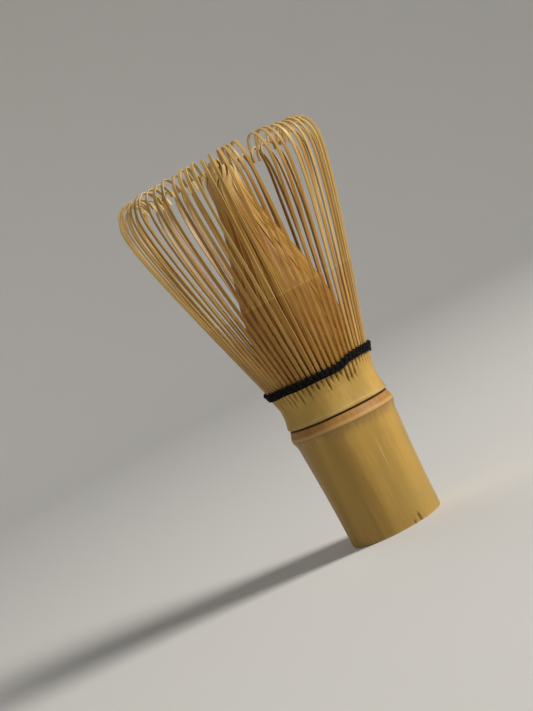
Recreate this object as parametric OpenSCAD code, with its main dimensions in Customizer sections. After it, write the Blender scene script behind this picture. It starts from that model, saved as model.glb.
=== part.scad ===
// Bamboo tea whisk, standing on its butt with the tines up.
// The cane is split into an outer ring and an inner ring of tines, held apart by a thread lacing.
// Millimetres. The origin is the centre of the butt's flat end, and +Z runs up the cane.

/* [Whisk] */
// Height from the butt to the top of the curled tines
whisk_h = 110; // [100:1:120]

/* [Cane] */
// Outer radius of the cane at its butt
butt_r = 13.1; // [12.4:0.1:13.4]
// Outer radius just under the node ridge
shank_r = 14.0; // [13.6:0.1:14.2]
// Height of the node ridge
ridge_z = 32.5; // [31:0.5:33]
// Outer radius of the node ridge
ridge_r = 14.85; // [14.5:0.05:15]
// Tilt of the node ridge and its groove towards +X, in degrees
node_tilt = 2.3; // [0:0.1:4]
// Radius of the narrowest place of the collar above the node
waist_r = 13.8; // [13.5:0.1:14]
// Outer radius of the collar's top, under the lacing
lip_r = 14.7; // [14.4:0.1:14.8]
// Height of the collar's top
lip_z = 44.9; // [44.5:0.1:44.9]
// Radius of the hollow in the handle
bore_r = 9.4; // [8:0.1:10]
// Depth of the hollow in the handle, up to the node's partition
bore_depth = 29; // [24:1:30]

/* [Outer tines] */
// Outer tines in each of the groups that flex together
outer_per_group = 4; // [3:1:4]
// Radius of the outer tines' centre line at the root
outer_root_r = 14.2; // [14.15:0.05:14.3]
// Largest radius of the outer tines' centre line
outer_top_r = 29.6; // [26:0.1:31]
// Width of an outer tine at its root
outer_root_w = 1.05; // [0.8:0.05:1.05]
// Width of an outer tine at its curled tip
outer_tip_w = 0.75; // [0.4:0.05:0.75]
// Thickness of an outer tine at its root
outer_root_t = 0.7; // [0.6:0.05:0.7]
// Thickness of an outer tine at its tip
outer_tip_t = 0.24; // [0.2:0.02:0.3]

/* [Inner tines] */
// Inner tines in each of the groups that flex together
inner_per_group = 8; // [6:1:8]
// Radius of the inner tines' centre line at the root
inner_root_r = 12.95; // [12.85:0.05:13]
// Radius at which the outer layer of inner tines ends
inner_top_r = 4.6; // [4.4:0.1:6]
// Width of an inner tine at its root
inner_root_w = 0.6; // [0.5:0.05:0.7]
// Width of an inner tine at its tip
inner_tip_w = 0.32; // [0.25:0.01:0.35]
// Thickness of an inner tine at its root
inner_root_t = 0.5; // [0.4:0.05:0.5]
// Thickness of an inner tine at its tip
inner_tip_t = 0.25; // [0.2:0.01:0.3]

/* [Lacing] */
// Diameter of the thread
thread_d = 0.6; // [0.5:0.05:0.65]
// Turns of thread round the outside of the outer tines
outer_turns = 4; // [3:1:5]

/* [Hidden] */
$fn = 96;
OUTER_GROUPS = 16;          // each group of tines is a node of its own
INNER_GROUPS = 8;
OUTLINE_STEPS = 6;          // straight pieces along each stretch of the cane's outline
STEM_STEPS = 9;             // straight pieces along each stretch of a tine
CURL_STEPS = 7;
tine_root_z = lip_z + 0.3;  // the tines' roots stand just clear of the collar, under the thread
groove_z = ridge_z + 2.6;   // middle of the sheath groove above the ridge
groove_depth = 0.55;
groove_h = 0.3;
butt_chamfer = 0.45;
ridge_below = 3;            // from the middle of the ridge down to where it starts
ridge_above = 2.2;          // from the middle of the ridge up to where it ends
ridge_start_r = shank_r - 0.25; // the ridge starts just inside the shank's skin
ridge_inner_r = bore_r + 2; // the ridge is laid on from inside the wall
cup_floor_z = ridge_z + 1.5; // top of the node's partition, the floor of the cup inside the collar
cup_floor_r = 11.2;
cup_top_r = 12.4;
inner_layer_step = 1.1;     // every second inner tine ends this much nearer the axis
apex_z = whisk_h - outer_tip_t * 0.75;
inner_top_z = whisk_h - 2.2;
curl_h = 6.6;               // from the widest place of an outer tine to the top of its curl
curl_w = 4.4;               // from the widest place inwards to the top of the curl
hook_w = 3.5;               // from the top of the curl inwards to the tip
hook_drop = 4.5;            // from the top of the curl down to the tip
root_flare = [5.7, 20];     // run of an outer tine's first stretch, outwards and upwards
flare_slope = root_flare[0] / root_flare[1];
thread_gap = 0.15;          // between the tines' outer faces and the thread
turn_pitch = thread_d * 0.93; // neighbouring turns bed into each other
first_turn_z = lip_z + 0.02 + thread_d / 2;
inner_thread_d = 0.5;
inner_thread_z = first_turn_z + turn_pitch;
inner_thread_r = (outer_root_r - outer_root_t / 2 + inner_root_r + inner_root_t / 2) / 2 + 0.1;
tie_d = 0.25;               // thread pinched between two tines on its way in
CANE_SKIN = [0.72, 0.58, 0.33];
TINE_OUTER = [0.76, 0.62, 0.38];
TINE_INNER = [0.72, 0.53, 0.29];
THREAD_BLACK = [0.03, 0.03, 0.035];

function two_digits(n) = n < 10 ? str("0", n) : str(n);
function outer_name(g) = str("outer_tines_", two_digits(g + 1));
function inner_name(g) = str("inner_tines_", two_digits(g + 1));

// A point of a cubic curve through four control points
function bezier(p, t) =
    pow(1 - t, 3) * p[0] + 3 * pow(1 - t, 2) * t * p[1]
    + 3 * (1 - t) * t * t * p[2] + pow(t, 3) * p[3];

// Points along a chain of cubic curves, with the given number of steps on each
function chain(curves, steps) = [
    for (c = [0 : len(curves) - 1])
        for (i = [(c == 0 ? 0 : 1) : steps[c]])
            bezier(curves[c], i / steps[c])
];

// Unit normal of a chain of points at point i, to the left of the way it runs
function normal_at(points, i) =
    let (
        a = points[max(i - 1, 0)],
        b = points[min(i + 1, len(points) - 1)],
        d = (b - a) / norm(b - a)
    )
    [-d[1], d[0]];

// Closed outline of a strip that follows a centre line and thins from root to tip
function strip_outline(points, t_root, t_tip) =
    let (
        n = len(points) - 1,
        half = [for (i = [0 : n]) (t_root + (t_tip - t_root) * pow(i / n, 0.8)) / 2]
    )
    concat(
        [for (i = [0 : n]) points[i] + half[i] * normal_at(points, i)],
        [for (i = [n : -1 : 0]) points[i] - half[i] * normal_at(points, i)]
    );

// Centre line of an outer tine as [radius, height]: it flares, turns upright, curls in and hooks down
function outer_line() =
    let (
        shoulder = [outer_top_r, apex_z - curl_h],
        apex = [outer_top_r - curl_w, apex_z],
        tip = [apex[0] - hook_w, apex_z - hook_drop]
    )
    chain([
        [[outer_root_r, tine_root_z], [outer_root_r, tine_root_z] + root_flare,
         shoulder - [0, 8.2], shoulder],
        [shoulder, shoulder + [0, 4], apex + [2.3, 0], apex],
        [apex, apex - [2.2, 0], tip + [0.1, 2.8], tip]
    ], [STEM_STEPS, CURL_STEPS, CURL_STEPS]);

// Centre line of an inner tine: it runs up beside the outer ones, then leans in to the middle
function inner_line(top_r) =
    let (knee = [8.4, tine_root_z + 35.3])
    chain([
        [[inner_root_r, tine_root_z], [inner_root_r + 0.45, tine_root_z + 16.8],
         knee + [3.1, -10.5], knee],
        [knee, knee + [-2.8, 9.5], [top_r + 0.1, inner_top_z - 11.5], [top_r, inner_top_z]]
    ], [STEM_STEPS, STEM_STEPS]);

// One tine in the XZ plane: its side outline, cut to its width by a long wedge
module tine(points, t_root, t_tip, w_root, w_tip) {
    reach = outer_top_r + 2;
    intersection() {
        rotate([90, 0, 0])
            linear_extrude(height = w_root, center = true)
                polygon(strip_outline(points, t_root, t_tip));
        rotate([90, 0, 90])
            linear_extrude(height = reach)
                polygon([
                    [-w_root / 2, tine_root_z - 1], [w_root / 2, tine_root_z - 1],
                    [w_tip / 2, whisk_h + 1], [-w_tip / 2, whisk_h + 1]
                ]);
    }
}

module outer_group(g) {
    count = OUTER_GROUPS * outer_per_group;
    color(TINE_OUTER)
        for (k = [0 : outer_per_group - 1])
            rotate([0, 0, (g * outer_per_group + k) * 360 / count])
                tine(outer_line(), outer_root_t, outer_tip_t, outer_root_w, outer_tip_w);
}

// Each inner tine stands behind the gap between two outer ones
module inner_group(g) {
    count = INNER_GROUPS * inner_per_group;
    color(TINE_INNER)
        for (k = [0 : inner_per_group - 1])
            rotate([0, 0, (g * inner_per_group + k + 0.5) * 360 / count])
                tine(inner_line(inner_top_r - inner_layer_step * (k % 2)),
                     inner_root_t, inner_tip_t, inner_root_w, inner_tip_w);
}

// Outside of the cane as [radius, height], without the node ridge
function cane_outline() =
    let (
        shank_top = [shank_r, ridge_z - 3.5],
        collar_foot = [waist_r + 0.25, groove_z + 2.2],
        shank = [[butt_r, butt_chamfer], [butt_r + 0.1, 12], [butt_r + 0.35, 20], shank_top],
        under_collar = [shank_top, [shank_r + 0.3, ridge_z], [shank_r + 0.5, groove_z], collar_foot],
        collar = [collar_foot, [waist_r - 0.1, groove_z + 4], [waist_r - 0.1, lip_z - 3.4], [lip_r, lip_z]]
    )
    concat(
        [[0, 0], [butt_r - butt_chamfer, 0]],
        chain([shank, under_collar, collar], [OUTLINE_STEPS, OUTLINE_STEPS, OUTLINE_STEPS]),
        [[0, lip_z]]
    );

// The swelling at the node: a slow rise, a rounded crest and a slow fall towards the groove
module ridge() {
    rotate_extrude()
        polygon([
            [ridge_inner_r, -ridge_below], [ridge_start_r, -ridge_below],
            [ridge_r - 0.35, -1.3], [ridge_r - 0.05, -0.5], [ridge_r, 0.1], [ridge_r - 0.15, 0.7],
            [ridge_r - 0.55, ridge_above - 0.2], [ridge_inner_r, ridge_above]
        ]);
}

// The thin ring that the fallen sheath leaves above the ridge
module groove() {
    floor_r = shank_r + 0.25 - groove_depth;
    mouth_r = ridge_r + 1;
    mouth_h = 3 * groove_h;
    rotate_extrude()
        polygon([
            [floor_r, -groove_h / 2], [mouth_r, -mouth_h / 2], [mouth_r, mouth_h / 2], [floor_r, groove_h / 2]
        ]);
}

module cane_handle() {
    color(CANE_SKIN)
        difference() {
            union() {
                rotate_extrude() polygon(cane_outline());
                translate([0, 0, ridge_z]) rotate([0, node_tilt, 0]) ridge();
            }
            translate([0, 0, groove_z]) rotate([0, node_tilt, 0]) groove();
            translate([0, 0, -1]) cylinder(r = bore_r, h = bore_depth + 1);
            translate([0, 0, cup_floor_z])
                cylinder(r1 = cup_floor_r, r2 = cup_top_r, h = lip_z - cup_floor_z + 0.001);
        }
}

// Radius of a turn of thread that lies against the flaring outer tines at height z
function turn_r(z) =
    outer_root_r + flare_slope * (z - tine_root_z)
    + (outer_root_t / 2 + thread_gap + thread_d / 2) * norm([1, flare_slope]);

// The thread goes round outside the outer tines, dives in between two groups and rounds the inside
module lacing() {
    color(THREAD_BLACK)
        union() {
            rotate_extrude()
                for (i = [0 : outer_turns - 1])
                    let (z = first_turn_z + i * turn_pitch)
                        translate([turn_r(z), z]) circle(d = thread_d, $fn = 48);
            rotate_extrude()
                translate([inner_thread_r, inner_thread_z]) circle(d = inner_thread_d, $fn = 48);
            for (g = [0 : OUTER_GROUPS - 1])
                rotate([0, 0, (g - 0.5 / outer_per_group) * 360 / OUTER_GROUPS])
                    translate([inner_thread_r, 0, inner_thread_z])
                        rotate([0, 90, 0])
                            cylinder(d = tie_d, h = turn_r(inner_thread_z) - inner_thread_r, $fn = 24);
        }
}

cane_handle();
lacing();
for (g = [0 : OUTER_GROUPS - 1])
    outer_group(g);
for (g = [0 : INNER_GROUPS - 1])
    inner_group(g);
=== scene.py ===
import math

import bpy
import numpy as np
from mathutils import Matrix, Vector


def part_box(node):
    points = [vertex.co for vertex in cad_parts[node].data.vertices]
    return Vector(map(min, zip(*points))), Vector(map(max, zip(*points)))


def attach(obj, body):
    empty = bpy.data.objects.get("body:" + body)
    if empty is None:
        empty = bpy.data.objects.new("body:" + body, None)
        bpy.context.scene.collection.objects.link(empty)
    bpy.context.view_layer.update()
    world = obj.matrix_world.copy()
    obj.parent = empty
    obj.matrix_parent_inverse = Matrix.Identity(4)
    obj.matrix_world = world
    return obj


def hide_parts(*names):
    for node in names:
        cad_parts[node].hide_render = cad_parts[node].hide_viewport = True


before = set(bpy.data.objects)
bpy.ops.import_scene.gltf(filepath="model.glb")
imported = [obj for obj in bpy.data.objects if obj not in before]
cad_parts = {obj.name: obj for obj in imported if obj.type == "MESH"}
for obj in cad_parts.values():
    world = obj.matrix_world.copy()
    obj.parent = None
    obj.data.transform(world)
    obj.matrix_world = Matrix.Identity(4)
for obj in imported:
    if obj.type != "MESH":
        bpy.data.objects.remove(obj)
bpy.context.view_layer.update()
MM = 0.001


# ---- Cane ----
# One length of bamboo, hollow below the node and again above it, where the collar is split into tines.
# The skin is left natural on the handle and scraped to a matt yellow on the collar.
# The saw leaves a flat butt with a narrow bevel; the fallen sheath leaves the groove above the node ridge.

TINES_ROUND = 64
PITCH = 2 * math.pi / TINES_ROUND
collar_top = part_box("cane_handle")[1].z
butt_r = 13.1 * MM
bore_r = 9.4 * MM
bore_top = 29 * MM
cup_floor = 34 * MM
stub_top = collar_top + 1.3 * MM
NODE_TILT = math.radians(2.3)
# Which wood faces a ring of the cane: the order of its materials
SKIN, COLLAR, BUTT, PITH = range(4)
GROOVE_Z = 35.04
NEAR_AXIS = 0.02 * MM
# The splits between the tines: highest start, how far down they wander, how deep and how wide they open
SPLIT_HEAD = 42.8 * MM
SPLIT_WANDER = 2.5 * MM
SPLIT_DEPTH = 0.85 * MM
SPLIT_WIDTH = 0.25 * MM
OPEN_SPLIT_DEPTH = 0.9 * MM
CHIP_DEPTH = 0.35 * MM
CHIP_SLANT = 9

# (heading, height, half width) of each chip in the butt's edge
BUTT_CHIPS = [(math.radians(-61.4), 2.9 * MM, 0.5 * MM), (math.radians(-70.0), 1.4 * MM, 0.3 * MM)]
# (heading, foot, head, half width) of the one split that the thread has pulled open
OPEN_SPLIT = (-1.5 * PITCH - math.pi / 2, 43.1 * MM, 44.9 * MM, 0.3 * MM)

# (height, radius) up the outside of the cane, at the middle of the tilt
SKIN_LINE = [
    (0.45, 13.1), (6, 13.15), (15, 13.4), (22, 13.72), (27, 14.0), (29.2, 14.12), (30.4, 14.32),
    (31.5, 14.68), (32.1, 14.85), (32.6, 14.84), (33.2, 14.6), (34, 14.34),
    (34.5, 14.2), (34.76, 14.12), (34.84, 13.66),
    (35.22, 13.6), (35.3, 14.22), (35.45, 14.38), (36, 14.36), (36.6, 14.2), (37.6, 14.02), (39, 13.88),
    (41, 13.84), (42.3, 14.05), (43.6, 14.4), (44.9, 14.76), (stub_top / MM, 15.05),
]


def monotone(points, at):
    """Heights to radii along a line of points, smooth and without overshoot between them."""
    x, y = np.array(points, float).T
    slope = np.diff(y) / np.diff(x)
    turn = slope[:-1] * slope[1:] > 0
    tangent = np.zeros_like(y)
    tangent[1:-1][turn] = 2 * slope[:-1][turn] * slope[1:][turn] / (slope[:-1] + slope[1:])[turn]
    tangent[0], tangent[-1] = slope[0], slope[-1]
    i = np.clip(np.searchsorted(x, at) - 1, 0, len(slope) - 1)
    h = x[i + 1] - x[i]
    t = (np.asarray(at) - x[i]) / h
    return (
        y[i] * (1 + 2 * t) * (1 - t) ** 2
        + tangent[i] * h * t * (1 - t) ** 2
        + y[i + 1] * t * t * (3 - 2 * t)
        + tangent[i + 1] * h * t * t * (t - 1)
    )


def cane_rings():
    """(radius, height, wood) of each ring: down the bore, round the butt, up the skin and into the cup."""
    heights = np.concatenate([
        [0.45, 0.8, 1.2, 1.6, 2.0, 2.4, 2.8, 3.3],
        np.linspace(5, 27, 10), np.linspace(28.2, 34.5, 19),
        [34.72, 34.8, 34.86, 34.92, 35.05, 35.18, 35.24],
        [35.3, 35.36, 35.45, 35.6, 35.8], np.linspace(36.1, 40, 8), np.linspace(40.4, stub_top / MM, 25),
    ])
    bore = [(NEAR_AXIS, bore_top, PITH), (5 * MM, bore_top, PITH)]
    bore += [(bore_r - 1.2 * MM, bore_top - 0.1 * MM, PITH), (bore_r - 0.3 * MM, bore_top - 0.5 * MM, PITH)]
    bore += [(bore_r, bore_top - 1.6 * MM, PITH)]
    bore += [(bore_r, z * MM, PITH) for z in (22, 16, 10, 5, 1, 0.15)]
    butt = [(r * MM, 0, BUTT) for r in (9.5, 10.2, 11, 11.8, 12.5, 12.8)]
    butt += [(12.9 * MM, 0.04 * MM, SKIN), (13.02 * MM, 0.2 * MM, SKIN)]
    skin = [
        (r * MM, z * MM, SKIN if z < GROOVE_Z else COLLAR)
        for z, r in zip(heights, monotone(SKIN_LINE, heights))
    ]
    lip = [(r * MM, stub_top, COLLAR) for r in (14.6, 13.6)]
    lip += [(12.55 * MM, stub_top - 0.05 * MM, PITH)]
    cup = [(r * MM, z * MM, PITH) for r, z in ((12.4, 44), (12.2, 41), (11.7, 37), (11.2, 34.8))]
    cup += [(10.6 * MM, cup_floor, PITH), (6 * MM, cup_floor, PITH), (NEAR_AXIS, cup_floor, PITH)]
    return bore + butt + skin + lip + cup


def split_angles():
    """Column angles: close together at each split between two tines, wider over a tine's back."""
    half = np.array([0.0, 0.06, 0.13, 0.21, 0.32, 0.5, 0.72]) / 0.72 * PITCH / 2
    one = np.concatenate([-half[:0:-1], half])[:-1]
    return np.concatenate([one + PITCH * i for i in range(TINES_ROUND)])


def cane_mesh():
    rings = cane_rings()
    angles = split_angles()
    around = len(angles)
    points = np.array([
        (r * math.cos(a), r * math.sin(a), z) for r, z, wood in rings for a in angles
    ])
    faces, woods = [], []
    for ring in range(len(rings) - 1):
        for column in range(around):
            after = (column + 1) % around
            low, high = ring * around, (ring + 1) * around
            faces.append((low + column, high + column, high + after, low + after))
            woods.append(rings[ring][2])
    faces.append(tuple(range(around)))
    woods.append(PITH)
    last = (len(rings) - 1) * around
    faces.append(tuple(last + c for c in reversed(range(around))))
    woods.append(PITH)
    mesh = bpy.data.meshes.new("cane")
    mesh.from_pydata([tuple(p) for p in points], [], faces)
    mesh.polygons.foreach_set("material_index", woods)
    mesh.update()
    return mesh


class Field:
    """A value in a node tree. Sums, products and so on of fields make the nodes between them."""

    def __init__(self, tree, socket):
        self.tree = tree
        self.socket = socket

    def join(self, kind, operation, *others, out=0):
        node = self.tree.nodes.new(kind)
        if operation:
            node.operation = operation
        for slot, value in zip(node.inputs, (self, *others)):
            connect(self.tree, value, slot)
        return Field(self.tree, node.outputs[out])

    def math(self, operation, *others):
        return self.join("ShaderNodeMath", operation, *others)

    def vector(self, operation, *others):
        return self.join("ShaderNodeVectorMath", operation, *others)

    def __add__(self, other):
        return self.math("ADD", other)

    def __sub__(self, other):
        return self.math("SUBTRACT", other)

    def __rsub__(self, other):
        return (self * -1) + other

    def __mul__(self, other):
        return self.math("MULTIPLY", other)

    def __truediv__(self, other):
        return self.math("DIVIDE", other)

    __radd__ = __add__
    __rmul__ = __mul__

    def smooth(self, low, high):
        """0 below low, 1 above high, and eased in between."""
        node = self.tree.nodes.new("ShaderNodeMapRange")
        node.interpolation_type = "SMOOTHSTEP"
        connect(self.tree, self, node.inputs["Value"])
        connect(self.tree, low, node.inputs["From Min"])
        connect(self.tree, high, node.inputs["From Max"])
        return Field(self.tree, node.outputs["Result"])

    def scaled(self, factor):
        node = self.tree.nodes.new("ShaderNodeVectorMath")
        node.operation = "SCALE"
        connect(self.tree, self, node.inputs[0])
        connect(self.tree, factor, node.inputs["Scale"])
        return Field(self.tree, node.outputs[0])


def connect(tree, value, slot):
    if isinstance(value, Field):
        tree.links.new(value.socket, slot)
    elif isinstance(value, bpy.types.NodeSocket):
        tree.links.new(value, slot)
    else:
        slot.default_value = value


def add(tree, kind, *values, **settings):
    """A node with its settings and, in order, its inputs."""
    node = tree.nodes.new(kind)
    for name, setting in settings.items():
        setattr(node, name, setting)
    for slot, value in zip(node.inputs, values):
        if value is not None:
            connect(tree, value, slot)
    return node


def read(tree, kind, out=0, **settings):
    return Field(tree, add(tree, kind, **settings).outputs[out])


def parts_of(vector):
    """The x, y and z of a vector field."""
    node = add(vector.tree, "ShaderNodeSeparateXYZ", vector)
    return [Field(vector.tree, socket) for socket in node.outputs]


def vector_from(tree, x, y, z):
    return Field(tree, add(tree, "ShaderNodeCombineXYZ", x, y, z).outputs[0])


def geometry_tree(name, **inputs):
    """A tree with a geometry input and output and these named inputs, each given as (kind, default)."""
    tree = bpy.data.node_groups.new(name, "GeometryNodeTree")
    tree.interface.new_socket("Geometry", in_out="INPUT", socket_type="NodeSocketGeometry")
    tree.interface.new_socket("Geometry", in_out="OUTPUT", socket_type="NodeSocketGeometry")
    for title, (kind, default) in inputs.items():
        socket = tree.interface.new_socket(title, in_out="INPUT", socket_type="NodeSocket" + kind)
        if default is not None:
            socket.default_value = default
    entry = tree.nodes.new("NodeGroupInput")
    given = {s.name: Field(tree, s) for s in entry.outputs if s.name}
    return tree, given


def close_tree(tree, geometry, materials=None):
    """Ends a tree in Realize Instances, Set Material where one is given, and the output."""
    geometry = add(tree, "GeometryNodeRealizeInstances", geometry).outputs[0]
    if materials is not None:
        geometry = add(tree, "GeometryNodeSetMaterial", geometry, None, materials).outputs[0]
    end = tree.nodes.new("NodeGroupOutput")
    tree.links.new(geometry, end.inputs[0])
    return tree


def grow(name, source, tree, **values):
    """The plain mesh object that a tree makes of a source mesh or curve, with these inputs."""
    seedling = bpy.data.objects.new(name + ".source", source)
    bpy.context.scene.collection.objects.link(seedling)
    modifier = seedling.modifiers.new("shape", "NODES")
    modifier.node_group = tree
    identifiers = {
        item.name: item.identifier for item in tree.interface.items_tree if item.in_out == "INPUT"
    }
    for title, value in values.items():
        modifier[identifiers[title]] = value
    depsgraph = bpy.context.evaluated_depsgraph_get()
    mesh = bpy.data.meshes.new_from_object(seedling.evaluated_get(depsgraph), depsgraph=depsgraph)
    bpy.data.objects.remove(seedling)
    mesh.name = name
    grown = bpy.data.objects.new(name, mesh)
    bpy.context.scene.collection.objects.link(grown)
    return grown


def capture(tree, geometry, **fields):
    """Keeps fields on a geometry's points, so that they can still be read further on."""
    node = tree.nodes.new("GeometryNodeCaptureAttribute")
    node.domain = "POINT"
    for title, (kind, field) in fields.items():
        node.capture_items.new(kind, title)
        connect(tree, field, node.inputs[title])
    connect(tree, geometry, node.inputs[0])
    return node.outputs[0], [Field(tree, node.outputs[title]) for title in fields]


def keep_named(tree, geometry, title, field, kind="FLOAT"):
    node = add(tree, "GeometryNodeStoreNamedAttribute", data_type=kind, domain="POINT")
    connect(tree, geometry, node.inputs["Geometry"])
    node.inputs["Name"].default_value = title
    connect(tree, field, node.inputs["Value"])
    return node.outputs[0]


def cane_tree():
    """Tilts the node, cuts the splits between the tines and takes the cane out of true a little."""
    tree, given = geometry_tree(
        "cane_growth",
        Tilt=("Float", NODE_TILT), Splits=("Int", TINES_ROUND),
        Depth=("Float", SPLIT_DEPTH), Wobble=("Float", 0.06 * MM),
    )
    x, y, z = parts_of(read(tree, "GeometryNodeInputPosition"))
    radius = (x * x + y * y).math("SQRT")
    outside = radius.smooth(12.7 * MM, 13.0 * MM)
    angle = y.math("ARCTAN2", x)
    near_node = z.smooth(22 * MM, 29.5 * MM) * (1 - z.smooth(37 * MM, 42 * MM)) * outside
    drop = x * given["Tilt"].math("TANGENT") * near_node
    # splits: each starts at its own height, and opens and deepens towards the thread
    turn = angle * given["Splits"] / (2 * math.pi)
    number = turn.math("FLOOR") + 0.5
    wrapped = number.math("FLOORED_MODULO", given["Splits"])
    across = (turn - number).math("ABSOLUTE") * radius * PITCH
    chance = Field(tree, add(
        tree, "FunctionNodeRandomValue", None, None, 0.0, 1.0, None, None, None, wrapped, 11,
        data_type="FLOAT",
    ).outputs[1])
    start = SPLIT_HEAD - chance.math("POWER", 1.4) * SPLIT_WANDER
    climb = (z - start).math("MAXIMUM", 0.0)
    half_width = (climb * 0.11 + 0.05 * MM).math("MINIMUM", SPLIT_WIDTH)
    inside_split = 1 - across.smooth(half_width * 0.3, half_width + 0.07 * MM)
    depth = (climb * 0.4).math("MINIMUM", given["Depth"]) * inside_split * outside
    # two chips knocked out of the butt's edge
    for heading, top, half in BUTT_CHIPS:
        beside = (angle - heading + z * CHIP_SLANT).math("ABSOLUTE") * butt_r
        chip = (1 - beside.smooth(half * 0.3, half)) * (1 - z.smooth(top * 0.55, top)) * outside
        depth = depth + chip * CHIP_DEPTH
    heading, foot, head, half = OPEN_SPLIT
    pulled = 1 - ((angle - heading).math("ABSOLUTE") * radius).smooth(half * 0.4, half)
    pulled = pulled * z.smooth(foot, foot + 0.4 * MM) * (1 - z.smooth(head - 0.3 * MM, head)) * outside
    depth = depth + pulled * OPEN_SPLIT_DEPTH
    # the cane is never quite round, and its fibres stand out a little
    wave = (angle * 2 + 0.7).math("SINE") * 1.0 + (angle * 3 + 2.1).math("SINE") * 0.7
    fibre = Field(tree, add(
        tree, "ShaderNodeTexNoise", vector_from(tree, x * 900, y * 900, z * 45), None, 1.0, 2.0,
    ).outputs[0])
    relief = (fibre - 0.5) * 0.05 * MM * outside
    new_radius = radius - depth + wave * given["Wobble"] * outside + relief
    stretch = new_radius / radius.math("MAXIMUM", 0.001 * MM)
    moved = vector_from(tree, x * stretch, y * stretch, z - drop)
    geometry, (cut,) = capture(tree, given["Geometry"], cut=("FLOAT", depth))
    geometry = add(tree, "GeometryNodeSetPosition", geometry, None, moved).outputs[0]
    geometry = keep_named(tree, geometry, "cut", cut * 1000)
    geometry = add(tree, "GeometryNodeSetShadeSmooth", geometry).outputs[0]
    return close_tree(tree, geometry)


def finish(name, roughness, **sockets):
    """A new material and its Principled shader, with these constants on the shader's own sockets."""
    material = bpy.data.materials.new(name)
    material.use_nodes = True
    shader = material.node_tree.nodes["Principled BSDF"]
    shader.inputs["Roughness"].default_value = roughness
    for title, value in sockets.items():
        shader.inputs[title.replace("_", " ")].default_value = value
    return material, material.node_tree, shader


def noise(tree, coordinates, scale, detail=3.0, roughness=0.55):
    node = add(tree, "ShaderNodeTexNoise")
    for title, value in (
        ("Vector", coordinates), ("Scale", scale), ("Detail", detail), ("Roughness", roughness),
    ):
        connect(tree, value, node.inputs[title])
    return Field(tree, node.outputs[0])


def blend(tree, factor, first, second, how="MIX"):
    """Mixes two colours, each a field or (red, green, blue)."""
    node = add(tree, "ShaderNodeMix", data_type="RGBA", blend_type=how)
    for slot, value in ((node.inputs[0], factor), (node.inputs[6], first), (node.inputs[7], second)):
        connect(tree, (*value, 1.0) if isinstance(value, tuple) else value, slot)
    return Field(tree, node.outputs[2])


def stretched(tree, across, along):
    """Object coordinates drawn out along the cane, for fibres."""
    place = read(tree, "ShaderNodeTexCoord", out=3)
    return Field(tree, add(tree, "ShaderNodeMapping", place, None, None, (across, across, along)).outputs[0])


def bump(tree, shader, height, strength, distance):
    node = add(tree, "ShaderNodeBump")
    for title, value in (("Strength", strength), ("Distance", distance), ("Height", height)):
        connect(tree, value, node.inputs[title])
    connect(tree, node.outputs[0], shader.inputs["Normal"])


def cane_skin():
    """Handle skin: satin, with long fibre streaks, a tan node ridge with a painted highlight on its crest
    and painted shade under it, and painted shade in the groove.
    """
    material, tree, shader = finish("cane skin", 0.4, Specular_IOR_Level=0.45)
    x, y, z = parts_of(read(tree, "ShaderNodeTexCoord", out=3))
    level = z + x * math.tan(NODE_TILT)
    broad = noise(tree, stretched(tree, 130, 9), 1.0, 2.0)
    fine = noise(tree, stretched(tree, 900, 16), 1.0, 4.0, 0.65)
    hair = noise(tree, stretched(tree, 2600, 30), 1.0, 2.0)
    patch = noise(tree, stretched(tree, 60, 45), 1.0, 3.0)
    thread = noise(tree, stretched(tree, 420, 2), 1.0, 1.0)
    colour = blend(tree, broad.smooth(0.36, 0.66), (0.37, 0.216, 0.037), (0.48, 0.285, 0.052))
    colour = blend(tree, patch.smooth(0.45, 0.7) * 0.55, colour, (0.33, 0.225, 0.055))
    colour = blend(tree, fine.smooth(0.48, 0.75) * 0.4, colour, (0.27, 0.15, 0.03))
    colour = blend(tree, hair.smooth(0.55, 0.8) * 0.22, colour, (0.60, 0.46, 0.2))
    colour = blend(tree, thread.smooth(0.66, 0.72) * 0.5, colour, (0.66, 0.5, 0.24))
    above = level.smooth(31.95 * MM, 32.15 * MM)
    tan = blend(tree, fine.smooth(0.3, 0.7), (0.42, 0.203, 0.042), (0.31, 0.138, 0.026))
    colour = blend(tree, above * 0.88, colour, tan)
    # painted highlight: a pale line along the top of the node ridge
    painted_crest_highlight = above * (1 - level.smooth(32.6 * MM, 33.3 * MM))
    colour = blend(tree, painted_crest_highlight * 0.6, colour, (0.62, 0.375, 0.13))
    # painted shadow: a thin dark line just under the tan band of the ridge
    painted_ridge_shadow = level.smooth(31.3 * MM, 31.9 * MM) * (1 - above)
    colour = blend(tree, painted_ridge_shadow * 0.45, colour, (0.16, 0.09, 0.025))
    # painted shade: the skin just below the ridge is darkened, speckled by the fibre noise
    below = level.smooth(28.2 * MM, 31.4 * MM) * (1 - above)
    colour = blend(tree, below * fine.smooth(0.25, 0.65) * 0.65, colour, (0.25, 0.15, 0.045))
    # painted shade: the groove under the collar is painted near black
    groove = level.smooth(34.66 * MM, 34.8 * MM)
    colour = blend(tree, groove * 0.93, colour, (0.04, 0.018, 0.008))
    rim = 1 - z.smooth(0.2 * MM, 0.55 * MM)
    colour = blend(tree, rim * 0.6, colour, (0.62, 0.44, 0.19))
    # painted shade: the skin inside the chips is darkened by how deep they are cut
    chip = read(tree, "ShaderNodeAttribute", out=2, attribute_name="cut").smooth(0.04, 0.3)
    colour = blend(tree, chip * 0.75, colour, (0.20, 0.11, 0.04))
    connect(tree, colour, shader.inputs["Base Color"])
    connect(tree, fine * 0.18 + 0.32 + broad * 0.1 + above * 0.16, shader.inputs["Roughness"])
    bump(tree, shader, fine * 0.6 + hair * 0.4, 0.25, 0.05 * MM)
    return material


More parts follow.
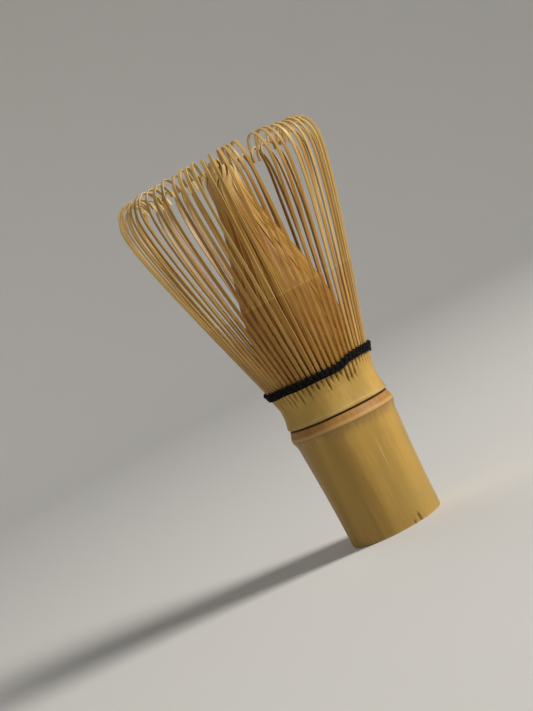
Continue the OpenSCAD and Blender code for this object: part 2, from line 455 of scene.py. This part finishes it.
def collar_wood():
    """Scraped collar: the skin is gone, so it is matt and shows short fibre dashes, with painted shade at
    its foot and in the splits.
    """
    material, tree, shader = finish("scraped collar", 0.62, Specular_IOR_Level=0.3)
    x, y, z = parts_of(read(tree, "ShaderNodeTexCoord", out=3))
    level = z + x * math.tan(NODE_TILT)
    broad = noise(tree, stretched(tree, 150, 40), 1.0, 2.0)
    fibre = noise(tree, stretched(tree, 1500, 110), 1.0, 4.0, 0.7)
    dash = noise(tree, stretched(tree, 3600, 420), 1.0, 2.0)
    scrape = noise(tree, stretched(tree, 120, 4200), 1.0, 3.0)
    colour = blend(tree, broad.smooth(0.35, 0.65), (0.42, 0.258, 0.058), (0.53, 0.332, 0.08))
    colour = blend(tree, fibre.smooth(0.5, 0.75) * 0.4, colour, (0.33, 0.20, 0.047))
    colour = blend(tree, dash.smooth(0.56, 0.72) * 0.35, colour, (0.27, 0.17, 0.05))
    foot = 1 - level.smooth(35.6 * MM, 37.4 * MM)
    colour = blend(tree, scrape.smooth(0.45, 0.7) * foot * 0.5, colour, (0.66, 0.53, 0.27))
    # painted shade: the foot of the collar, down in the groove under its lip, is painted near black
    edge = 1 - level.smooth(35.22 * MM, 35.34 * MM)
    colour = blend(tree, edge * 0.9, colour, (0.045, 0.02, 0.008))
    # painted shade: the splits are painted darker the deeper they go
    deep = read(tree, "ShaderNodeAttribute", out=2, attribute_name="cut").smooth(0.05, 0.7)
    colour = blend(tree, deep * 0.7, colour, (0.17, 0.08, 0.022))
    connect(tree, colour, shader.inputs["Base Color"])
    connect(tree, fibre * 0.2 + 0.5, shader.inputs["Roughness"])
    bump(tree, shader, fibre * 0.6 + dash * 0.5 + scrape * foot * 0.8, 0.35, 0.06 * MM)
    return material


def sawn_end():
    """Sawn butt: pale, with the brown dots of the fibre bundles, closer together towards the skin."""
    material, tree, shader = finish("sawn end", 0.7, Specular_IOR_Level=0.25)
    place = read(tree, "ShaderNodeTexCoord", out=3)
    x, y, z = parts_of(place)
    radius = (x * x + y * y).math("SQRT")
    bundles = add(tree, "ShaderNodeTexVoronoi")
    connect(tree, place, bundles.inputs["Vector"])
    bundles.inputs["Scale"].default_value = 1900.0
    spot = 1 - Field(tree, bundles.outputs["Distance"]).smooth(0.16, 0.42)
    outer = radius.smooth(9.4 * MM, 13 * MM)
    cloud = noise(tree, place, 260.0, 3.0)
    colour = blend(tree, cloud, (0.60, 0.44, 0.20), (0.70, 0.55, 0.30))
    colour = blend(tree, spot * (outer * 0.6 + 0.3), colour, (0.27, 0.145, 0.05))
    colour = blend(tree, radius.smooth(12.3 * MM, 13.1 * MM) * 0.5, colour, (0.40, 0.25, 0.08))
    connect(tree, colour, shader.inputs["Base Color"])
    bump(tree, shader, spot * -1.0 + cloud * 0.4, 0.4, 0.06 * MM)
    return material


def pith_wood():
    """Inside of the cane: dull, pale and a little dusty, with faint lines along the grain."""
    material, tree, shader = finish("cane inside", 0.82, Specular_IOR_Level=0.2)
    streak = noise(tree, stretched(tree, 700, 30), 1.0, 4.0, 0.65)
    cloud = noise(tree, read(tree, "ShaderNodeTexCoord", out=3), 190.0, 4.0)
    colour = blend(tree, streak.smooth(0.35, 0.7), (0.58, 0.42, 0.20), (0.42, 0.27, 0.10))
    colour = blend(tree, cloud.smooth(0.5, 0.75) * 0.5, colour, (0.33, 0.20, 0.08))
    connect(tree, colour, shader.inputs["Base Color"])
    bump(tree, shader, streak, 0.4, 0.08 * MM)
    return material


cane = grow("cane", cane_mesh(), cane_tree())
for material in (cane_skin(), collar_wood(), sawn_end(), pith_wood()):
    cane.data.materials.append(material)
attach(cane, "cane")
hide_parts("cane_handle")


# ---- Outer tines ----
# Strips of the cane's wall, skin outwards, split with a knife, thinned on the inside and curled
# over a hot rod. They flare from the thread, turn upright near the top and hook in and down.
# Neighbours stand in loose clumps.

# (radius, height) of each knot of the centre line, in millimetres, with its handles
OUTER_LINE = [
    ((13.8, 43.8), (19.9, 65.2)),
    ((29.5, 103.4), (29.6, 95.4), (29.4, 106.6)),
    ((25.6, 109.35), (27.8, 109.4), (23.6, 109.3)),
    ((21.9, 105.4), (22.0, 108.0)),
]
# How far each tine leans round the ring at its top, in degrees: neighbours have dried in loose clumps
OUTER_LEAN = [
    -1.0, 0.3, -0.5, 0.6, -3.2, 0.5, -3.6, -4.6, 3.3, 3.2, 2.5, -2.1, 1.9, -1.0, 0.8, -0.9,
    0.5, 1.2, -2.7, -1.3, -0.5, -2.9, 0.1, -4.7, -4.6, 0.0, 3.2, 4.6, 0.4, -1.0, 0.6, 0.2,
    1.5, 2.8, 3.2, 4.1, 4.5, 4.0, 4.9, 2.9, 3.0, 3.4, 4.0, 6.0, 4.5, 2.5, 0.3, 1.0,
    0.0, 0.0, -1.3, -5.6, -7.5, 0.7, -0.4, -1.1, -1.3, -1.5, -1.6, -1.2, -3.2, -3.0, -2.5, -1.5,
]


def centre_line(name, stops):
    """A Bezier curve in the plane of the cane's axis, from (radius, height) stops with their handles."""
    data = bpy.data.curves.new(name, "CURVE")
    data.dimensions = "3D"
    data.resolution_u = 24
    spline = data.splines.new("BEZIER")
    spline.bezier_points.add(len(stops) - 1)
    for knot, stop in zip(spline.bezier_points, stops):
        place = Vector((stop[0][0], 0, stop[0][1])) * MM
        before = Vector((stop[1][0], 0, stop[1][1])) * MM
        after = Vector((stop[-1][0], 0, stop[-1][1])) * MM
        knot.handle_left_type = knot.handle_right_type = "FREE"
        knot.co = place
        knot.handle_left = before
        knot.handle_right = after
    return data


def chance(tree, number, seed, low=-1.0, high=1.0):
    """A random value for each tine."""
    node = add(tree, "FunctionNodeRandomValue", None, None, low, high, data_type="FLOAT")
    connect(tree, number, node.inputs["ID"])
    connect(tree, seed, node.inputs["Seed"])
    return Field(tree, node.outputs[1])


def look_up(tree, place, values, handles="VECTOR"):
    """The value of an evenly spaced list at a place from 0 to 1 along it."""
    node = tree.nodes.new("ShaderNodeFloatCurve")
    connect(tree, place, node.inputs["Value"])
    low, high = min(values), max(values)
    span = max(high - low, 1e-6)
    line = node.mapping.curves[0]
    for _ in range(len(values) - 2):
        line.points.new(0.5, 0.5)
    for step, (point, value) in enumerate(zip(line.points, values)):
        point.location = (step / (len(values) - 1), (value - low) / span)
        point.handle_type = handles
    node.mapping.update()
    return Field(tree, node.outputs[0]) * span + low


def tine_tree(title, leans):
    """Repeats a centre line round the cane and gives each copy a strip's width and thickness."""
    tree, given = geometry_tree(
        title,
        Tines=("Int", 4), First=("Int", 0), Offset=("Float", 0.5), Rings=("Int", 40), Ease=("Float", 0.1),
        RootWidth=("Float", 1.0 * MM), TipWidth=("Float", 0.8 * MM),
        RootThick=("Float", 0.6 * MM), TipThick=("Float", 0.3 * MM),
        Wander=("Float", 0.0), Push=("Float", 0.0), Bulge=("Float", 0.0), Rise=("Float", 0.0),
        Sway=("Float", 0.0),  # metres sideways, the same way for every tine
        Lift=("Float", 0.0), Curl=("Float", 0.0), Hook=("Float", 0.75), Twist=("Float", 0.0),
        Layer=("Float", 0.0), Swirl=("Float", 0.0), Ripple=("Float", 0.0),
        Seed=("Int", 1), Material=("Material", None),
    )
    seed = given["Seed"]
    curve = add(tree, "GeometryNodeResampleCurve", given["Geometry"], None, given["Rings"]).outputs[0]
    along = read(tree, "GeometryNodeSplineParameter")
    run_x, _, run_z = parts_of(read(tree, "GeometryNodeInputTangent"))
    skin_way = vector_from(tree, run_z, 0.0, run_x * -1.0)
    curve, (along, skin_way) = capture(tree, curve, along=("FLOAT", along), skin=("VECTOR", skin_way))
    copies = add(tree, "GeometryNodeDuplicateElements", curve, None, given["Tines"], domain="SPLINE")
    curve, (copy,) = capture(tree, copies.outputs[0], copy=("FLOAT", copies.outputs[1]))
    number = copy + given["First"]
    # where the tine leans, and how its tip differs from its neighbours'
    lean = look_up(tree, number / (TINES_ROUND - 1), leans) + chance(tree, number, seed) * given["Wander"]
    lean = lean * math.radians(1)
    hook = along.smooth(given["Hook"], 1.0)
    angle = (number + given["Offset"]) * PITCH + lean * along.math("POWER", 1.15)
    angle = angle + hook.math("POWER", 1.3) * given["Swirl"] * chance(tree, number, seed + 1, 0.4, 1.6)
    phase = chance(tree, number, seed + 2, 0.0, 6.28)
    angle = angle + (along * 9.0 + phase).math("SINE") * along * given["Ripple"]
    x, y, z = parts_of(read(tree, "GeometryNodeInputPosition"))
    push = chance(tree, number, seed + 3) * given["Push"] * along * along
    curl = chance(tree, number, seed + 4) * given["Curl"] * hook
    inner = number.math("FLOORED_MODULO", 2.0) * given["Layer"] * along.smooth(0.3, 0.9)
    bulge = (along * math.pi).math("SINE") * given["Bulge"]
    radius = x + push + curl + bulge - inner
    lift = (z - 45 * MM) * chance(tree, number, seed + 5) * given["Lift"]
    hang = chance(tree, number, seed + 6) * given["Curl"] * along.smooth(given["Hook"] + 0.1, 1.0)
    height = z + lift + hang + given["Rise"] * along
    sway = given["Sway"] * along * along
    place = vector_from(tree, radius * angle.math("COSINE") + sway, radius * angle.math("SINE"), height)
    curve = add(tree, "GeometryNodeSetPosition", curve, None, place).outputs[0]
    # the strip's own directions: along its run, across its width and out of its skin
    turn_skin = add(
        tree, "ShaderNodeVectorRotate", skin_way, None, None, angle, rotation_type="Z_AXIS",
    ).outputs[0]
    run = read(tree, "GeometryNodeInputTangent")
    side = run.vector("CROSS_PRODUCT", Field(tree, turn_skin)).vector("NORMALIZE")
    out = side.vector("CROSS_PRODUCT", run).vector("NORMALIZE")
    turned = chance(tree, number, seed + 7) * given["Twist"] * along
    side, out = (
        Field(tree, add(
            tree, "ShaderNodeVectorRotate", way, None, run, turned, rotation_type="AXIS_ANGLE",
        ).outputs[0])
        for way in (side, out)
    )
    centre = read(tree, "GeometryNodeInputPosition")
    tone = chance(tree, number, seed + 8, 0.0, 1.0)
    breadth = chance(tree, number, seed + 9, 0.85, 1.1)
    curve, (along, centre, side, out, tone, breadth) = capture(
        tree, curve, along=("FLOAT", along), centre=("VECTOR", centre), side=("VECTOR", side),
        out=("VECTOR", out), tone=("FLOAT", tone), breadth=("FLOAT", breadth),
    )
    # the cross-section: a rectangle with its four corners eased
    ring = add(tree, "GeometryNodeCurvePrimitiveCircle", 8).outputs[0]
    ring = add(tree, "GeometryNodeTransform", ring)
    ring.inputs["Rotation"].default_value = (0, 0, math.pi / 8)
    ring = ring.outputs[0]
    ring_x, ring_y, _ = parts_of(read(tree, "GeometryNodeInputPosition"))
    across = ring_x.math("SIGN") * (0.5 - ring_x.math("ABSOLUTE").math("LESS_THAN", 0.6) * given["Ease"])
    deep = ring_y.math("SIGN") * (0.5 - ring_y.math("ABSOLUTE").math("LESS_THAN", 0.6) * given["Ease"] * 1.8)
    ring, (across, deep) = capture(tree, ring, across=("FLOAT", across), deep=("FLOAT", deep))
    strip = add(tree, "GeometryNodeCurveToMesh", curve, ring)
    strip.inputs["Fill Caps"].default_value = True
    width = (given["RootWidth"] + (given["TipWidth"] - given["RootWidth"]) * along) * breadth
    thick = given["RootThick"] + (given["TipThick"] - given["RootThick"]) * along.math("POWER", 0.8)
    place = centre.vector("ADD", side.scaled(across * width)).vector("ADD", out.scaled(deep * thick))
    mesh = add(tree, "GeometryNodeSetPosition", strip.outputs[0], None, place).outputs[0]
    mesh = keep_named(tree, mesh, "grain", vector_from(tree, across * width, tone, along), "FLOAT_VECTOR")
    mesh = keep_named(tree, mesh, "skin", deep + 0.5)
    mesh = add(tree, "GeometryNodeSetShadeSmooth", mesh).outputs[0]
    corner = read(tree, "GeometryNodeInputMeshEdgeAngle").math("GREATER_THAN", math.radians(25))
    mesh = add(tree, "GeometryNodeSetShadeSmooth", mesh, corner, False, domain="EDGE").outputs[0]
    return close_tree(tree, mesh, given["Material"])


def tine_wood(name, heart, skin, pale, orange, roughness):
    """Split bamboo: each tine has its own tone, fibre lines along it, and paler edges, partly the paler cut
    wood and partly a painted highlight.
    """
    material, tree, shader = finish(name, roughness, Specular_IOR_Level=0.35)
    grain = read(tree, "ShaderNodeAttribute", out=1, attribute_name="grain")
    side = read(tree, "ShaderNodeAttribute", out=2, attribute_name="skin")
    across, tone, along = parts_of(grain)
    lines = noise(tree, vector_from(tree, across * 6000, tone * 90, along * 7), 1.0, 3.0, 0.6)
    drift = noise(tree, vector_from(tree, across * 500, tone * 40, along * 3.5), 1.0, 2.0)
    colour = blend(tree, side.smooth(0.55, 0.9), heart, skin)
    colour = blend(tree, tone.smooth(0.35, 1.0) * 0.8, colour, orange)
    colour = blend(tree, (1 - tone).smooth(0.6, 1.0) * 0.6, colour, pale)
    colour = blend(tree, lines.smooth(0.48, 0.75) * 0.65, colour, tuple(0.42 * c for c in heart))
    colour = blend(tree, drift.smooth(0.45, 0.75) * 0.4, colour, pale)
    # paler edges: partly the paler wood of the cut sides, partly a painted highlight where light catches
    # them
    cut = (across * 1000).math("ABSOLUTE").smooth(0.31, 0.44)
    colour = blend(tree, cut * 0.8, colour, pale)
    colour = blend(tree, along.smooth(0.72, 0.96) * 0.65, colour, (0.66, 0.47, 0.19))
    # a faint pale line crosses the tines, perhaps where the knife began, and below it they are browner
    height = parts_of(read(tree, "ShaderNodeTexCoord", out=3))[2]
    thinned = height.smooth(69.3 * MM, 69.7 * MM)
    colour = blend(tree, (1 - thinned) * 0.3, colour, orange)
    colour = blend(tree, thinned * (1 - height.smooth(69.9 * MM, 70.2 * MM)) * 0.25, colour, pale)
    connect(tree, colour, shader.inputs["Base Color"])
    connect(tree, lines * 0.2 + (roughness - 0.1), shader.inputs["Roughness"])
    bump(tree, shader, lines, 0.3, 0.03 * MM)
    return material


outer_ring = tine_tree("outer_tine_ring", OUTER_LEAN)
outer_wood = tine_wood(
    "outer tine", heart=(0.39, 0.195, 0.03), skin=(0.41, 0.207, 0.029), pale=(0.66, 0.45, 0.155),
    orange=(0.34, 0.14, 0.016), roughness=0.45,
)
outer_source = centre_line("outer line", OUTER_LINE)
# How much taller or shorter each group of four stands, in millimetres
OUTER_RISE = [0.0, -0.1, 0.0, -0.2, 0.0, -0.2, -0.3, -0.4, -0.5, -0.6, -0.4, -0.2, 0.1, 0.2, 0.1, 0.0]
for group, rise in enumerate(OUTER_RISE):
    node = f"outer_tines_{group + 1:02d}"
    tines = grow(
        f"outer_tine_group_{group + 1:02d}", outer_source, outer_ring,
        Tines=4, First=group * 4, Offset=0.0, Rings=46,
        RootWidth=0.95 * MM, TipWidth=0.9 * MM, RootThick=0.66 * MM, TipThick=0.32 * MM,
        Wander=0.15, Push=0.3 * MM, Rise=rise * MM,
        Lift=0.004, Curl=0.6 * MM, Hook=0.8, Twist=0.35, Ripple=0.009,
        Seed=40, Material=outer_wood,
    )
    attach(tines, f"outer_group_{group + 1:02d}")
    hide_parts(node)


# ---- Inner tines ----
# The strips between the outer ones, split thinner still and pushed inside the thread.
# They stand up close together, lean in to a bundle, and their tips wind round each other at the top.

INNER_LINE = [
    ((12.9, 43.8), (13.5, 61)),
    ((8.9, 80.5), (11.8, 70), (6.4, 89.4)),
    ((4.5, 101.0), (4.85, 95.5), (4.3, 104.5)),
    ((1.7, 108.3), (3.9, 107.9)),
]
inner_ring = tine_tree("inner_tine_ring", [0.0, 0.0])
inner_wood = tine_wood(
    "inner tine", heart=(0.42, 0.18, 0.022), skin=(0.44, 0.182, 0.02), pale=(0.68, 0.40, 0.085),
    orange=(0.28, 0.09, 0.009), roughness=0.5,
)
inner_source = centre_line("inner line", INNER_LINE)
# How far each group of eight bows out of the bundle, in millimetres
INNER_BULGE = [0.5, 0.2, -0.1, -0.4, -0.5, -0.2, 0.1, 0.4]
for group, bulge in enumerate(INNER_BULGE):
    node = f"inner_tines_{group + 1:02d}"
    tines = grow(
        f"inner_tine_group_{group + 1:02d}", inner_source, inner_ring,
        Tines=8, First=group * 8, Offset=0.5, Rings=44,
        RootWidth=1.2 * MM, TipWidth=1.02 * MM, RootThick=0.45 * MM, TipThick=0.24 * MM,
        Wander=2.8, Push=0.26 * MM, Bulge=bulge * MM, Sway=0.6 * MM,
        Lift=0.004, Curl=1.3 * MM, Hook=0.86, Twist=0.07, Layer=0.36 * MM,
        Swirl=math.radians(60), Ripple=0.01,
        Seed=90, Material=inner_wood,
    )
    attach(tines, f"inner_group_{group + 1:02d}")
    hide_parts(node)


# ---- Thread ----
# Black two-ply cotton. It winds round outside the outer tines, dipping in between each two,
# and turns inside hold the inner tines away from the outer ones. The last turn outside rides up in the gaps.

lacing_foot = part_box("lacing")[0].z
# Height of the hand-wound band off level, in millimetres, every fifteen degrees from the right
THREAD_WAVE = [
    0.1, 0.0, -0.1, -0.05, 0.1, 0.15, 0.0, -0.1, -0.2, -0.1, 0.0, 0.05,
    0.0, -0.1, -0.05, 0.1, -0.1, -0.15, -0.2, -0.38, 0.4, 0.5, 0.3, 0.15, 0.1,
]


def thread_tree():
    """Winds a helix round the tines, lets it dip between them, and twists two plies along it."""
    tree, given = geometry_tree(
        "thread_winding",
        Turns=("Float", 4.0), Foot=("Float", 45.2 * MM), Pitch=("Float", 0.56 * MM),
        Radius=("Float", 15.0 * MM), Flare=("Float", 0.35), Dip=("Float", 0.2 * MM),
        Weave=("Float", 0.22 * MM), Wave=("Float", 1.0 * MM), PlyRadius=("Float", 0.17 * MM),
        Lay=("Float", 1.3 * MM),
        Steps=("Int", 1600),  # points in each turn
        Material=("Material", None),
    )
    spiral = add(tree, "GeometryNodeCurveSpiral")
    for title, value in (
        ("Resolution", given["Steps"]), ("Rotations", given["Turns"]),
        ("Start Radius", 1.0), ("End Radius", 1.0), ("Height", 1.0),
    ):
        connect(tree, value, spiral.inputs[title])
    along = read(tree, "GeometryNodeSplineParameter")
    curve, (along,) = capture(tree, spiral.outputs[0], along=("FLOAT", along))
    angle = along * given["Turns"] * (2 * math.pi)
    rise = along * given["Turns"] * given["Pitch"]
    beat = (angle * TINES_ROUND).math("COSINE")
    peak = beat * along.smooth(0.62, 0.76) * given["Weave"]
    wave = look_up(tree, (angle / (2 * math.pi)).math("FRACT"), THREAD_WAVE, "AUTO") * given["Wave"]
    height = given["Foot"] + rise + wave - peak
    radius = given["Radius"] + (rise + wave) * given["Flare"] + beat * 0.5 * given["Dip"]
    place = vector_from(tree, radius * angle.math("COSINE"), radius * angle.math("SINE"), height)
    curve = add(tree, "GeometryNodeSetPosition", curve, None, place).outputs[0]
    plies = add(tree, "GeometryNodeDuplicateElements", curve, None, 2, domain="SPLINE")
    curve, (ply,) = capture(tree, plies.outputs[0], ply=("FLOAT", plies.outputs[1]))
    length = read(tree, "GeometryNodeSplineParameter", out=1)
    twist = length * (2 * math.pi) / given["Lay"] + ply * math.pi
    run = read(tree, "GeometryNodeInputTangent")
    outwards = vector_from(tree, angle.math("COSINE"), angle.math("SINE"), 0.0)
    upwards = run.vector("CROSS_PRODUCT", outwards).vector("NORMALIZE")
    offset = outwards.scaled(twist.math("COSINE") * given["PlyRadius"] * 0.85)
    offset = offset.vector("ADD", upwards.scaled(twist.math("SINE") * given["PlyRadius"] * 0.85))
    curve = add(tree, "GeometryNodeSetPosition", curve, None, None, offset).outputs[0]
    ring = add(tree, "GeometryNodeCurvePrimitiveCircle", 6).outputs[0]
    size = add(tree, "GeometryNodeTransform", ring)
    ply_size = vector_from(tree, given["PlyRadius"], given["PlyRadius"], given["PlyRadius"])
    connect(tree, ply_size, size.inputs["Scale"])
    strand = add(tree, "GeometryNodeCurveToMesh", curve, size.outputs[0])
    strand.inputs["Fill Caps"].default_value = True
    mesh = add(tree, "GeometryNodeSetShadeSmooth", strand.outputs[0]).outputs[0]
    return close_tree(tree, mesh, given["Material"])


def cotton():
    """Dyed cotton: near black, dull, with a little fuzz that catches the light."""
    material, tree, shader = finish(
        "black thread", 0.9, Specular_IOR_Level=0.15, Sheen_Weight=0.05, Sheen_Roughness=0.5,
    )
    place = read(tree, "ShaderNodeTexCoord", out=3)
    fuzz = noise(tree, place, 9000.0, 3.0, 0.7)
    worn = noise(tree, place, 700.0, 2.0)
    colour = blend(tree, fuzz.smooth(0.45, 0.75), (0.003, 0.003, 0.0035), (0.011, 0.010, 0.010))
    colour = blend(tree, worn.smooth(0.5, 0.8) * 0.5, colour, (0.012, 0.010, 0.009))
    connect(tree, colour, shader.inputs["Base Color"])
    bump(tree, shader, fuzz, 0.6, 0.05 * MM)
    return material


black_cotton = cotton()
winding = thread_tree()
spare_line = bpy.data.curves.new("thread line", "CURVE")
lacing = grow(
    "lacing_outer_turns", spare_line, winding,
    Turns=4.15, Foot=lacing_foot + 0.28 * MM, Radius=15.08 * MM, Material=black_cotton,
)
inner_lacing = grow(
    "lacing_inner_turns", spare_line, winding,
    Turns=3.05, Foot=lacing_foot + 0.95 * MM, Radius=13.62 * MM, Pitch=0.5 * MM, Flare=0.2,
    Dip=-0.12 * MM, Wave=0.7 * MM, PlyRadius=0.12 * MM, Material=black_cotton,
)
for turns in (lacing, inner_lacing):
    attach(turns, "cane")
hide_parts("lacing")


# ---- Studio ----
# A pale floor that curves up into a wall all round, a soft key light from the right,
# a weak fill from the left and a little light from behind.

FLOOR_FLAT = 0.85
WALL_BEND = 0.45
WALL_TOP = 1.6


def studio_bowl():
    steps = 96
    outline = [(0.25, 0.0), (0.6, 0.0), (FLOOR_FLAT, 0.0)]
    outline += [
        (FLOOR_FLAT + WALL_BEND * math.sin(t), WALL_BEND * (1 - math.cos(t)))
        for t in np.linspace(0.12, math.pi / 2, 14)
    ]
    outline += [(FLOOR_FLAT + WALL_BEND, WALL_TOP)]
    around = np.linspace(0, 2 * math.pi, steps, endpoint=False)
    points = [(r * math.cos(a), r * math.sin(a), z) for r, z in outline for a in around]
    rings = len(outline)
    faces = [tuple(range(steps))]
    for ring in range(rings - 1):
        for column in range(steps):
            after = (column + 1) % steps
            low, high = ring * steps, (ring + 1) * steps
            faces.append((low + column, low + after, high + after, high + column))
    mesh = bpy.data.meshes.new("studio floor")
    mesh.from_pydata(points, [], faces)
    mesh.polygons.foreach_set("use_smooth", [False] + [True] * (len(faces) - 1))
    mesh.update()
    return mesh


floor = bpy.data.objects.new("studio_floor", studio_bowl())
bpy.context.scene.collection.objects.link(floor)
paint, _, paint_shader = finish("studio paint", 0.9, Specular_IOR_Level=0.1)
paint_shader.inputs["Base Color"].default_value = (0.74, 0.73, 0.71, 1)
floor.data.materials.append(paint)

world = bpy.data.worlds.new("studio air")
world.use_nodes = True
world.node_tree.nodes["Background"].inputs["Color"].default_value = (0.93, 0.96, 1.0, 1)
world.node_tree.nodes["Background"].inputs["Strength"].default_value = 0.08
bpy.context.scene.world = world


def lamp(name, place, aim, size, power, spread, colour):
    data = bpy.data.lights.new(name, "AREA")
    data.shape = "DISK"
    data.size = size
    data.energy = power
    data.spread = math.radians(spread)
    data.color = colour
    light = bpy.data.objects.new(name, data)
    light.location = place
    light.rotation_euler = (Vector(aim) - Vector(place)).to_track_quat("-Z", "Y").to_euler()
    bpy.context.scene.collection.objects.link(light)


whisk_middle = Vector((0, 0, 0.055))
lamp("key", (0.98, -0.42, 0.75), whisk_middle, 0.42, 7.0, 120, (1.0, 0.97, 0.92))
lamp("fill", (-0.6, -0.8, 0.7), whisk_middle, 0.8, 0.25, 180, (0.97, 0.98, 1.0))
lamp("back", (-0.3, 0.8, 0.9), whisk_middle, 0.7, 1.5, 180, (1.0, 1.0, 1.0))


# ---- Camera ----
# A short telephoto, level with the whisk and rolled, so that the tines point to the upper left.

ROLL = math.radians(27.3)
RAISE = math.radians(2.3)
DISTANCE = 0.45
SHIFT_RIGHT = 9.92 * MM
SHIFT_UP = 3.19 * MM
camera_data = bpy.data.cameras.new("camera")
camera_data.sensor_width = 36
camera_data.lens = 85
camera = bpy.data.objects.new("camera", camera_data)
right = Vector((math.cos(ROLL), 0, -math.sin(ROLL)))
up = Vector((math.sin(ROLL), 0, math.cos(ROLL)))
back = Vector((0, -1, 0))
turn = Matrix((right, up, back)).transposed()
tilt = Matrix.Rotation(-RAISE, 3, "X")
turn = tilt @ turn
aim = whisk_middle - turn.col[0] * SHIFT_RIGHT - turn.col[1] * SHIFT_UP
camera.matrix_world = Matrix.Translation(aim + turn.col[2] * DISTANCE) @ turn.to_4x4()
camera_data.clip_start = 0.01
camera_data.clip_end = 10
bpy.context.scene.collection.objects.link(camera)
bpy.context.scene.camera = camera
bpy.context.scene.view_settings.view_transform = "Standard"
